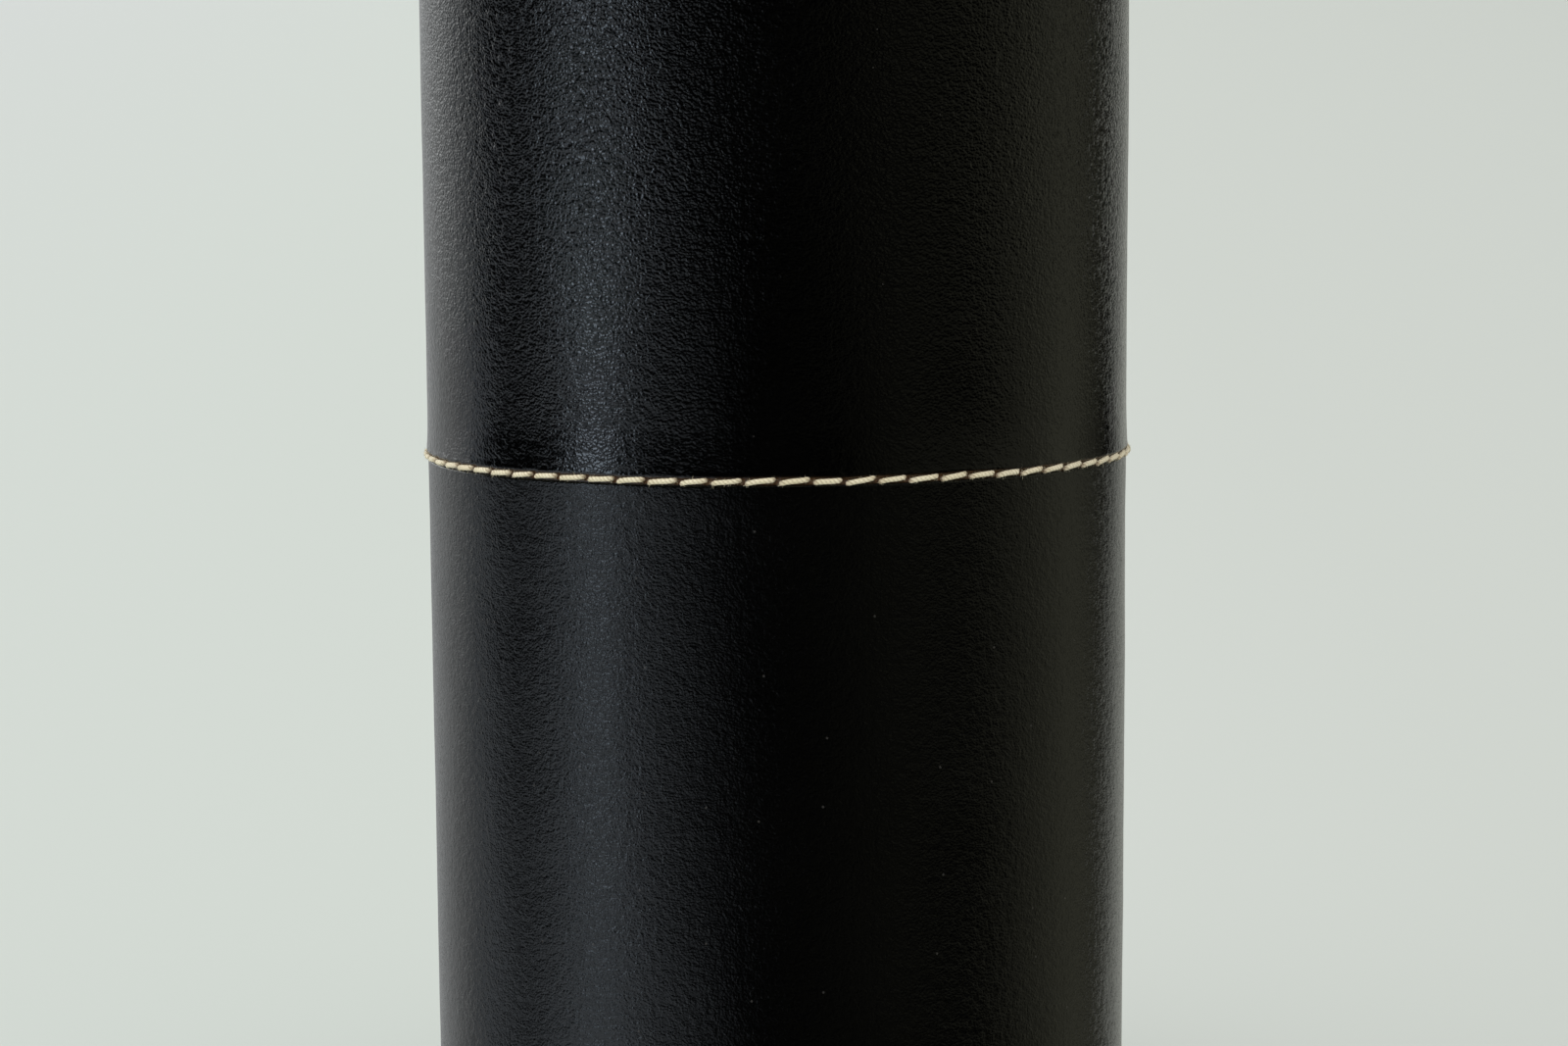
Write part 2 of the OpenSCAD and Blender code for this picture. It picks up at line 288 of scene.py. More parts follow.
def pucker(gap, across, below=1.0):
    """Leather pulled down at each hole, pressed under the thread and swelling just beyond it."""
    hole = -0.34 * np.exp(-(gap / 0.22) ** 2 - (across / 0.26) ** 2)
    bed = -BED_DEPTH * 0.6 * np.exp(-(across / 0.28) ** 4)
    side = np.where(across > 0, 1, below)
    beside = np.exp(-((np.abs(across) - 0.6) / 0.2) ** 2)
    swell = 0.035 * side * beside * (0.3 + np.exp(-((gap + 0.3) / 0.45) ** 2))
    drag = -0.03 * side * np.exp(-(gap / 0.3) ** 2 - (across / 1.0) ** 2)
    return hole + bed + swell + drag


def hole_mark(gap, across):
    return np.exp(-(gap / 0.26) ** 4 - (across / 0.3) ** 4)


def back_x(turn, radius):
    """Distance across from the middle of the back, in mm, towards +X."""
    return (math.pi - np.abs(turn)) * radius * np.where(turn > 0, 1, -1)


def back_lift(turn, height, radius, holes):
    """The closing lap at the back: its swell, its edge and the row of stitches beside it."""
    x = back_x(turn, radius)
    flap = BACK_LAP_RISE * np.clip((x + 8) / 6, 0, 1) * (x < EDGE_MARGIN)
    beyond = -0.05 * np.exp(-((x - EDGE_MARGIN) / 0.35) ** 2) * (x >= EDGE_MARGIN)
    at = holes[0]
    inside = (height > at[0] - 0.8) & (height < at[-1] + 0.8)
    gap, across = row_distance(np.clip(height, at[0], at[-1]), x, holes)
    return flap + beyond + np.where(inside & (np.abs(x) < 4), pucker(gap, across), 0)


def unevenness(turn, height, seed):
    """The slight waves of hide glued over board, in mm."""
    u, v = turn / (2 * math.pi) + 0.5, height / TOP_Z
    return (0.035 * smooth_noise(9, 7, u, v, seed) + 0.016 * smooth_noise(31, 19, u, v, seed + 1)
            + 0.006 * smooth_noise(97, 53, u, v, seed + 2))


def upper_lift(turn, height, radius):
    along = turn * R_WAIST
    gap, across = row_distance(along, height - WAIST_Z, waist_holes, 2 * math.pi * R_WAIST)
    waist = np.where(np.abs(height - WAIST_Z) < 4, pucker(gap, across, 0), 0)
    gap, across = row_distance(along, height - RIM_Z, rim_holes, 2 * math.pi * R_WAIST)
    rim = np.where(np.abs(height - RIM_Z) < 4, pucker(gap, across), 0)
    u, v = turn / (2 * math.pi) + 0.5, (height - WAIST_Z + 1) / 8
    pulls = 0.012 * smooth_noise(300, 14, u, v, 31) * np.exp(-((height - WAIST_Z - 0.8) / 0.6) ** 2)
    outside = radius > cover_in(height) - 0.3
    back = np.where(outside, back_lift(turn, height, radius, upper_holes), 0)
    return waist + rim + pulls + back + unevenness(turn, height, 11) * np.clip((height - EDGE_Z) / 4, 0, 1)


def lower_lift(turn, height, radius):
    along = turn * R_WAIST
    gap, across = row_distance(along, height - WAIST_Z, waist_holes, 2 * math.pi * R_WAIST)
    drawn = -0.02 * np.exp(-(gap / 0.5) ** 2 - ((across + 0.9) / 0.5) ** 2)
    outside = radius > cover_in(height) - 0.3
    back = np.where(outside, back_lift(turn, height, radius, lower_holes), 0)
    return drawn + back + unevenness(turn, height, 23) * np.clip((EDGE_Z - height) / 4, 0, 1)


def waist_holes_and_painted_shade(turn, height, radius):
    gap, across = row_distance(turn * R_WAIST, height - WAIST_Z, waist_holes, 2 * math.pi * R_WAIST)
    # the holes show the leather's raw russet core; the band along the row, beside the thread, is the same
    # russet as a painted brown shade
    return np.maximum(hole_mark(gap, across), 0.4 * np.exp(-(across / 0.36) ** 4))


def back_marks(turn, height, radius, holes):
    at = holes[0]
    gap, across = row_distance(np.clip(height, at[0], at[-1]), back_x(turn, radius), holes)
    beyond = np.maximum(at[0] - height, height - at[-1]).clip(0)
    return hole_mark(np.hypot(gap, beyond), across)


def upper_marks(turn, height, radius):
    gap, across = row_distance(turn * R_WAIST, height - RIM_Z, rim_holes, 2 * math.pi * R_WAIST)
    return np.maximum.reduce([waist_holes_and_painted_shade(turn, height, radius), hole_mark(gap, across),
                              back_marks(turn, height, radius, upper_holes)])


def lower_marks(turn, height, radius):
    return back_marks(turn, height, radius, lower_holes)


# ---------------------------------------------------------------- materials

def node_tree(material):
    material.use_nodes = True
    tree = material.node_tree
    tree.nodes.clear()
    return tree


def add(tree, kind, **values):
    node = tree.nodes.new(kind)
    for key, value in values.items():
        if hasattr(node, key):
            setattr(node, key, value)
        else:
            node.inputs[key.replace("_", " ")].default_value = value
    return node


def wire(tree, source, target):
    tree.links.new(source, target)


def group_node(tree, group, **values):
    node = tree.nodes.new("ShaderNodeGroup")
    node.node_tree = group
    for key, value in values.items():
        node.inputs[key].default_value = value
    return node


def new_group(name, inputs, outputs):
    group = bpy.data.node_groups.new(name, "ShaderNodeTree")
    for label, kind, value in inputs:
        socket = group.interface.new_socket(name=label, in_out="INPUT", socket_type=kind)
        socket.default_value = value
    for label, kind in outputs:
        group.interface.new_socket(name=label, in_out="OUTPUT", socket_type=kind)
    return group, group.nodes.new("NodeGroupInput"), group.nodes.new("NodeGroupOutput")


def math_node(tree, operation, first, second=None, clamp=False):
    node = tree.nodes.new("ShaderNodeMath")
    node.operation = operation
    node.use_clamp = clamp
    for socket, value in zip(node.inputs, (first, second)):
        if value is None:
            continue
        if isinstance(value, (int, float)):
            socket.default_value = value
        else:
            tree.links.new(value, socket)
    return node.outputs[0]


def ramp(tree, source, stops):
    """A colour ramp with stops of (place, grey or colour)."""
    node = tree.nodes.new("ShaderNodeValToRGB")
    elements = node.color_ramp.elements
    while len(elements) < len(stops):
        elements.new(0.5)
    for element, (place, colour) in zip(elements, stops):
        element.position = place
        rgb = (colour,) * 3 if isinstance(colour, (int, float)) else tuple(colour)
        element.color = rgb + (1,)
    tree.links.new(source, node.inputs["Fac"])
    return node.outputs["Color"]


def leather_grain_group():
    """Pebbled grain: small rounded cells, longer round the cup than up it, over finer pores."""
    group, given, out = new_group("leather_grain", [
        ("Coordinates", "NodeSocketVector", (0, 0, 0)),
        ("Cells", "NodeSocketVector", (2300, 3600, 1)),
        ("Pores_per_Metre", "NodeSocketFloat", 7000),
        ("Pore_Share", "NodeSocketFloat", 0.3),
    ], [("Height", "NodeSocketFloat"), ("Creases", "NodeSocketFloat")])
    warp = add(group, "ShaderNodeTexNoise", Scale=1500, Detail=1)
    wire(group, given.outputs["Coordinates"], warp.inputs["Vector"])
    shift = add(group, "ShaderNodeVectorMath", operation="MULTIPLY_ADD")
    wire(group, warp.outputs["Color"], shift.inputs[0])
    shift.inputs[1].default_value = (0.0004, 0.0004, 0)
    wire(group, given.outputs["Coordinates"], shift.inputs[2])
    sized = add(group, "ShaderNodeVectorMath", operation="MULTIPLY")
    wire(group, shift.outputs[0], sized.inputs[0])
    wire(group, given.outputs["Cells"], sized.inputs[1])
    cells = add(group, "ShaderNodeTexVoronoi", feature="F1", voronoi_dimensions="2D", Scale=1)
    wire(group, sized.outputs[0], cells.inputs["Vector"])
    dome = math_node(group, "SUBTRACT", 1.0, math_node(group, "POWER", cells.outputs["Distance"], 1.5))
    pores = add(group, "ShaderNodeTexNoise", Detail=2, Roughness=0.6)
    wire(group, given.outputs["Coordinates"], pores.inputs["Vector"])
    wire(group, given.outputs["Pores_per_Metre"], pores.inputs["Scale"])
    part = math_node(group, "MULTIPLY", pores.outputs["Fac"], given.outputs["Pore_Share"])
    wire(group, math_node(group, "ADD", dome, part), out.inputs["Height"])
    creases = math_node(group, "SUBTRACT", cells.outputs["Distance"], 0.35, clamp=True)
    wire(group, creases, out.inputs["Creases"])
    return group


def patches_group():
    """Slow changes over a hide: where it is glossier, coarser or dustier. Puts out values round 0.5."""
    group, given, out = new_group("hide_patches", [
        ("Coordinates", "NodeSocketVector", (0, 0, 0)),
        ("Patches_per_Metre", "NodeSocketFloat", 60),
    ], [("Broad", "NodeSocketFloat"), ("Fine", "NodeSocketFloat")])
    broad = add(group, "ShaderNodeTexNoise", Detail=3, Roughness=0.5)
    wire(group, given.outputs["Coordinates"], broad.inputs["Vector"])
    wire(group, given.outputs["Patches_per_Metre"], broad.inputs["Scale"])
    fine = add(group, "ShaderNodeTexNoise", Scale=1200, Detail=2, Roughness=0.5)
    wire(group, given.outputs["Coordinates"], fine.inputs["Vector"])
    wire(group, broad.outputs["Fac"], out.inputs["Broad"])
    wire(group, fine.outputs["Fac"], out.inputs["Fine"])
    return group


def specks_group():
    """Sparse grey specks of dust and tiny nicks. Puts out a mask."""
    group, given, out = new_group("dust_specks", [
        ("Coordinates", "NodeSocketVector", (0, 0, 0)),
        ("Specks_per_Metre", "NodeSocketFloat", 160),
        ("Size", "NodeSocketFloat", 0.02),
    ], [("Mask", "NodeSocketFloat")])
    dots = add(group, "ShaderNodeTexVoronoi", feature="F1", voronoi_dimensions="2D")
    wire(group, given.outputs["Coordinates"], dots.inputs["Vector"])
    wire(group, given.outputs["Specks_per_Metre"], dots.inputs["Scale"])
    near = math_node(group, "LESS_THAN", dots.outputs["Distance"], given.outputs["Size"])
    some = add(group, "ShaderNodeSeparateColor")
    wire(group, dots.outputs["Color"], some.inputs[0])
    chosen = math_node(group, "GREATER_THAN", some.outputs[0], 0.72)
    wire(group, math_node(group, "MULTIPLY", near, chosen), out.inputs["Mask"])
    return group


def fibre_group():
    """Loose wool or linen fibres: crossing fine lines. Puts out a height and a tint."""
    group, given, out = new_group("fibres", [
        ("Coordinates", "NodeSocketVector", (0, 0, 0)),
        ("Fibres_per_Metre", "NodeSocketFloat", 2500),
    ], [("Height", "NodeSocketFloat"), ("Tint", "NodeSocketFloat")])
    lines = add(group, "ShaderNodeTexNoise", Detail=4, Roughness=0.65, Distortion=1.5)
    wire(group, given.outputs["Coordinates"], lines.inputs["Vector"])
    wire(group, given.outputs["Fibres_per_Metre"], lines.inputs["Scale"])
    wire(group, lines.outputs["Fac"], out.inputs["Height"])
    slow = add(group, "ShaderNodeTexNoise", Scale=260, Detail=3)
    wire(group, given.outputs["Coordinates"], slow.inputs["Vector"])
    wire(group, slow.outputs["Fac"], out.inputs["Tint"])
    return group


GRAIN = leather_grain_group()
PATCHES = patches_group()
SPECKS = specks_group()
FIBRES = fibre_group()


def cover_leather(name, base, rough, rough_swing, cells, grain_mm, pore_share, speck_size, fade):
    """Dyed and finished cover leather, with raw russet edges at the holes and, along the waist row, a
    painted brown shade beside the thread in the same russet. fade gives two places along the hide, in
    metres, and the strength of the grain at each."""
    material = bpy.data.materials.new(name)
    tree = node_tree(material)
    place = add(tree, "ShaderNodeUVMap", uv_map="hide")
    shader = add(tree, "ShaderNodeBsdfPrincipled")
    shader.inputs["IOR"].default_value = 1.5
    grain = group_node(tree, GRAIN, Cells=cells, Pore_Share=pore_share)
    patches = group_node(tree, PATCHES)
    specks = group_node(tree, SPECKS, Size=speck_size)
    for node in (grain, patches, specks):
        wire(tree, place.outputs["UV"], node.inputs["Coordinates"])
    holes = add(tree, "ShaderNodeAttribute", attribute_name="holes")

    tone = ramp(tree, patches.outputs["Broad"], [
        (0.3, tuple(c * 0.8 for c in base)), (0.7, tuple(c * 1.25 for c in base))])
    dusty = add(tree, "ShaderNodeMix", data_type="RGBA")
    wire(tree, specks.outputs["Mask"], dusty.inputs["Factor"])
    wire(tree, tone, dusty.inputs["A"])
    dusty.inputs["B"].default_value = (0.03, 0.028, 0.026, 1)
    # russet at the holes is the leather's raw core; along the waist row it is a painted brown shade beside
    # the thread
    raw = add(tree, "ShaderNodeMix", data_type="RGBA")
    wire(tree, math_node(tree, "MULTIPLY", holes.outputs["Fac"], 0.9), raw.inputs["Factor"])
    wire(tree, dusty.outputs["Result"], raw.inputs["A"])
    raw.inputs["B"].default_value = (0.16, 0.075, 0.025, 1)
    wire(tree, raw.outputs["Result"], shader.inputs["Base Color"])

    swing = math_node(tree, "MULTIPLY_ADD", patches.outputs["Broad"], rough_swing)
    swing.node.inputs[2].default_value = rough - rough_swing / 2
    worn = math_node(tree, "ADD", swing, math_node(tree, "MULTIPLY", grain.outputs["Creases"], 0.25))
    matt = math_node(tree, "ADD", worn, math_node(tree, "MULTIPLY", holes.outputs["Fac"], 0.3), clamp=True)
    wire(tree, matt, shader.inputs["Roughness"])

    up = add(tree, "ShaderNodeSeparateXYZ")
    wire(tree, place.outputs["UV"], up.inputs[0])
    strong = add(tree, "ShaderNodeMapRange")
    wire(tree, up.outputs[1], strong.inputs["Value"])
    for label, value in zip(("From Min", "From Max", "To Min", "To Max"), fade):
        strong.inputs[label].default_value = value
    varied = math_node(tree, "MULTIPLY", math_node(tree, "POWER", patches.outputs["Fine"], 1.5), 2.8)
    height = math_node(tree, "MULTIPLY", grain.outputs["Height"],
                       math_node(tree, "MULTIPLY", varied, strong.outputs["Result"]))
    bump = add(tree, "ShaderNodeBump", Strength=1.0, Distance=grain_mm * MM)
    wire(tree, height, bump.inputs["Height"])
    wire(tree, bump.outputs["Normal"], shader.inputs["Normal"])
    end = add(tree, "ShaderNodeOutputMaterial")
    wire(tree, shader.outputs[0], end.inputs["Surface"])
    return material


def thread_material():
    """Waxed linen thread, cream, with painted shade in the valleys between its plies, and browner where it
    enters the leather, partly a stain and partly painted shade.
    """
    material = bpy.data.materials.new("waxed_linen")
    tree = node_tree(material)
    place = add(tree, "ShaderNodeTexCoord")
    shader = add(tree, "ShaderNodeBsdfPrincipled", Roughness=0.55)
    shader.inputs["Sheen Weight"].default_value = 0.15
    fibres = group_node(tree, FIBRES, Fibres_per_Metre=9000)
    wire(tree, place.outputs["Object"], fibres.inputs["Coordinates"])
    ends = add(tree, "ShaderNodeAttribute", attribute_name="ends")
    valley = add(tree, "ShaderNodeAttribute", attribute_name="valley")
    tone = ramp(tree, fibres.outputs["Tint"], [(0.3, (0.85, 0.745, 0.51)), (0.7, (0.98, 0.885, 0.65))])
    # painted shade: the valleys between the plies are darkened towards brown
    painted_ply_shade = add(tree, "ShaderNodeMix", data_type="RGBA")
    wire(tree, math_node(tree, "MULTIPLY", math_node(tree, "POWER", valley.outputs["Fac"], 2.0), 0.9),
         painted_ply_shade.inputs["Factor"])
    wire(tree, tone, painted_ply_shade.inputs["A"])
    painted_ply_shade.inputs["B"].default_value = (0.30, 0.20, 0.09, 1)
    # browner where the thread dives into its hole: partly a stain, partly painted shade
    stained_and_shaded_end = add(tree, "ShaderNodeMix", data_type="RGBA")
    wire(tree, ends.outputs["Fac"], stained_and_shaded_end.inputs["Factor"])
    wire(tree, painted_ply_shade.outputs["Result"], stained_and_shaded_end.inputs["A"])
    stained_and_shaded_end.inputs["B"].default_value = (0.16, 0.07, 0.03, 1)
    wire(tree, stained_and_shaded_end.outputs["Result"], shader.inputs["Base Color"])
    bump = add(tree, "ShaderNodeBump", Strength=1.0, Distance=0.05 * MM)
    wire(tree, fibres.outputs["Height"], bump.inputs["Height"])
    wire(tree, bump.outputs["Normal"], shader.inputs["Normal"])
    end = add(tree, "ShaderNodeOutputMaterial")
    wire(tree, shader.outputs[0], end.inputs["Surface"])
    return material


def felt_material():
    """Green wool felt."""
    material = bpy.data.materials.new("wool_felt")
    tree = node_tree(material)
    place = add(tree, "ShaderNodeTexCoord")
    shader = add(tree, "ShaderNodeBsdfPrincipled", Roughness=0.95)
    shader.inputs["Sheen Weight"].default_value = 0.12
    shader.inputs["Specular IOR Level"].default_value = 0.2
    fibres = group_node(tree, FIBRES, Fibres_per_Metre=2600)
    wire(tree, place.outputs["Object"], fibres.inputs["Coordinates"])
    mixed = math_node(tree, "ADD", math_node(tree, "MULTIPLY", fibres.outputs["Height"], 0.6),
                      math_node(tree, "MULTIPLY", fibres.outputs["Tint"], 0.4))
    tone = ramp(tree, mixed, [
        (0.3, (0.012, 0.045, 0.026)), (0.5, (0.022, 0.085, 0.05)), (0.7, (0.05, 0.15, 0.09))])
    wire(tree, tone, shader.inputs["Base Color"])
    bump = add(tree, "ShaderNodeBump", Strength=1.0, Distance=0.15 * MM)
    wire(tree, fibres.outputs["Height"], bump.inputs["Height"])
    wire(tree, bump.outputs["Normal"], shader.inputs["Normal"])
    end = add(tree, "ShaderNodeOutputMaterial")
    wire(tree, shader.outputs[0], end.inputs["Surface"])
    return material


def board_material(name, dark, light, scale, stretch):
    """Fibreboard, plywood, grey board or cork: flecks of two tones, drawn out along one way."""
    material = bpy.data.materials.new(name)
    tree = node_tree(material)
    place = add(tree, "ShaderNodeTexCoord")
    squeeze = add(tree, "ShaderNodeMapping")
    squeeze.inputs["Scale"].default_value = stretch
    wire(tree, place.outputs["Object"], squeeze.inputs["Vector"])
    flecks = add(tree, "ShaderNodeTexNoise", Scale=scale, Detail=5, Roughness=0.6)
    wire(tree, squeeze.outputs[0], flecks.inputs["Vector"])
    shader = add(tree, "ShaderNodeBsdfPrincipled", Roughness=0.8)
    tone = ramp(tree, flecks.outputs["Fac"], [(0.35, dark), (0.65, light)])
    wire(tree, tone, shader.inputs["Base Color"])
    bump = add(tree, "ShaderNodeBump", Strength=0.6, Distance=0.1 * MM)
    wire(tree, flecks.outputs["Fac"], bump.inputs["Height"])
    wire(tree, bump.outputs["Normal"], shader.inputs["Normal"])
    end = add(tree, "ShaderNodeOutputMaterial")
    wire(tree, shader.outputs[0], end.inputs["Surface"])
    return material


upper_leather = cover_leather("black_leather_upper", (0.0006, 0.0006, 0.0006), 0.11, 0.04, (2900, 3300, 1),
                              0.034, 0.1, 0.012, (0.068, 0.1, 0.42, 1.3))
lower_leather = cover_leather("black_leather_lower", (0.0007, 0.0007, 0.0007), 0.17, 0.04, (3300, 3900, 1),
                              0.022, 0.4, 0.02, (0, 0.1, 1, 1))
sole_leather = cover_leather("worn_sole_leather", (0.012, 0.011, 0.0105), 0.55, 0.2, (1500, 1500, 1),
                             0.05, 0.6, 0.05, (0, 0.1, 1, 1))
waxed_linen = thread_material()
wool_felt = felt_material()


# ---------------------------------------------------------------- covers

def upper_cover():
    rim_corner = (cover_in(CORNER_HIGH) - GLUE - BOARD_ROUND, CORNER_HIGH)
    felt_z = TUBE_TOP - FELT_ROUND
    felt_corner = (felt_in(felt_z) + FELT_ROUND, felt_z)
    outer_round = BOARD_ROUND + GLUE + COVER_T
    inner_round = FELT_ROUND + GLUE + TURN_T
    bottom = JOINT_Z + 0.01
    lap_wall = [(lapped_r(z), z) for z in np.linspace(bottom + 0.03, TONGUE_Z, 60)]
    over = arc(rim_corner, outer_round, TOP_Z - CORNER_HIGH, 0, 90)
    inner = arc(felt_corner, inner_round, TOP_Z - felt_z, 90, 180)
    back_inner = arc(felt_corner, FELT_ROUND + GLUE, FELT_ROUND + GLUE, 180, 90)
    back_outer = arc(rim_corner, BOARD_ROUND + GLUE, BOARD_ROUND + GLUE, 90, 0)
    outline, shown = path_points([
        ([(tongue_out(bottom) + GLUE, bottom), (lapped_r(bottom) - 0.03, bottom)], 0.5, 0.0),
        ([(lapped_r(bottom) - 0.03, bottom), lap_wall[0]], 0.05, 0.0),
        (lap_wall[:20], 0.13, 1.0),
        (lap_wall[19:], 0.45, 1.0),
        ([lap_wall[-1], (outer_r(RIM_Z - 2), RIM_Z - 2)], 1.2, 1.0),
        ([(outer_r(RIM_Z - 2), RIM_Z - 2), (outer_r(RIM_Z + 1.5), RIM_Z + 1.5)], 0.22, 1.0),
        ([(outer_r(RIM_Z + 1.5), RIM_Z + 1.5), over[0]], 0.6, 1.0),
        (over, 0.32, 1.0),
        ([over[-1], inner[0]], 0.5, 1.0),
        (inner, 0.32, 1.0),
        ([inner[-1], (turn_inside(RIM_Z + 1.5), RIM_Z + 1.5)], 0.6, 1.0),
        ([(turn_inside(RIM_Z + 1.5), RIM_Z + 1.5), (turn_inside(RIM_Z - 2), RIM_Z - 2)], 0.25, 1.0),
        ([(turn_inside(RIM_Z - 2), RIM_Z - 2), (turn_inside(TURN_Z + 1), TURN_Z + 1)], 1.2, 1.0),
        ([(turn_inside(TURN_Z + 1), TURN_Z + 1), (turn_out(TURN_Z) - 0.3, TURN_Z),
          (turn_out(TURN_Z), TURN_Z)], 0.25, 0.5),
        ([(turn_out(TURN_Z), TURN_Z), back_inner[0]], 3, 0.0),
        (back_inner, 0.3, 0.0),
        ([back_inner[-1], back_outer[0]], 1, 0.0),
        (back_outer, 0.3, 0.0),
        ([back_outer[-1], (cover_in(TONGUE_Z + 1.5), TONGUE_Z + 1.5)], 4, 0.0),
        ([(cover_in(TONGUE_Z + 1.5), TONGUE_Z + 1.5), (tongue_out(TONGUE_Z - 1) + GLUE, TONGUE_Z - 1),
          (tongue_out(bottom) + GLUE, bottom)], 1, 0.0),
    ])
    outline, shown = outline[:-1], shown[:-1]
    piece = turned_skin("upper_cover_leather", outline, shown, ring_columns(9), upper_lift,
                        upper_leather, {"holes": upper_marks})
    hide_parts("upper_cover")
    return piece


def lower_cover():
    foot = (cover_in(CORNER_LOW) - GLUE - BOARD_ROUND, CORNER_LOW)
    rounded = BOARD_ROUND + GLUE + COVER_T
    flange_r = outer_r(0) - TURN_UNDER
    top = JOINT_Z
    under = arc(foot, rounded, CORNER_LOW - FOLD_Z, -90, 0)
    inside = arc(foot, BOARD_ROUND + GLUE, BOARD_ROUND + GLUE, 0, -90)
    outline, shown = path_points([
        ([(flange_r, FOLD_Z), under[0]], 0.5, 0.0),
        (under, 0.3, 1.0),
        ([under[-1], (outer_r(top - 2), top - 2)], 0.8, 1.0),
        ([(outer_r(top - 2), top - 2), (outer_r(top), top)], 0.3, 1.0),
        ([(outer_r(top), top), (tongue_out(top), top)], 0.3, 0.0),
        ([(tongue_out(top), top), (tongue_out(TONGUE_Z - 1), TONGUE_Z - 1),
          (cover_in(TONGUE_Z) + 0.15, TONGUE_Z), (cover_in(TONGUE_Z), TONGUE_Z)], 1, 0.0),
        ([(cover_in(TONGUE_Z), TONGUE_Z), inside[0]], 4, 0.0),
        (inside, 0.3, 0.0),
        ([inside[-1], (flange_r, FOLD_Z + TURN_T)], 1.5, 0.0),
        ([(flange_r, FOLD_Z + TURN_T), (flange_r, FOLD_Z)], 0.5, 0.0),
    ])
    outline, shown = outline[:-1], shown[:-1]
    piece = turned_skin("lower_cover_leather", outline, shown, ring_columns(9), lower_lift,
                        lower_leather, {"holes": lower_marks})
    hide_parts("lower_cover")
    return piece


# ---------------------------------------------------------------- threads

def strand_loop(route, size, samples, sides, lay, phase):
    """One stitch of plied thread as a closed loop. route is a smooth closed list of places, size its
    radii, and lay the length in which the plies go round once."""
    count = len(route)
    step = np.linalg.norm(np.roll(route, -1, 0) - route, axis=1)
    along = np.concatenate([[0], np.cumsum(step)])
    at = np.arange(samples) * count / samples
    keys = np.arange(count + 1)
    closed = np.concatenate([route, route[:1]])
    points = np.stack([np.interp(at, keys, closed[:, k]) for k in range(3)], 1)
    travelled = np.interp(at, keys, along)
    thick = np.interp(at, keys, np.append(size, size[0]))
    tangent = np.roll(points, -1, 0) - np.roll(points, 1, 0)
    tangent /= np.linalg.norm(tangent, axis=1, keepdims=True)
    out = points - points.mean(0)
    out -= tangent * (out * tangent).sum(1, keepdims=True)
    out /= np.linalg.norm(out, axis=1, keepdims=True)
    side = np.cross(tangent, out)
    twist = 2 * math.pi * round(travelled[-1] / lay) * travelled / along[-1]
    angle = np.linspace(0, 2 * math.pi, sides, endpoint=False)
    ply = np.abs(np.cos(1.5 * (angle[None] - twist[:, None] + phase)))
    reach = thick[:, None] * (0.85 + 0.18 * ply ** 0.7)
    ring = (points[:, None] + (out[:, None] * np.cos(angle)[None, :, None] * 0.9
            + side[:, None] * np.sin(angle)[None, :, None] * 1.03) * reach[..., None])
    # the last value marks the valleys between the plies, where the thread's material paints shade
    return ring, points, 1 - ply


def ease(along):
    """The hand pulled the stitches flatter on the left of the front than on its right."""
    turn = (along / R_WAIST + math.pi) % (2 * math.pi) - math.pi
    return 0.78 + 0.22 * math.tanh((turn + 0.45) / 0.25)


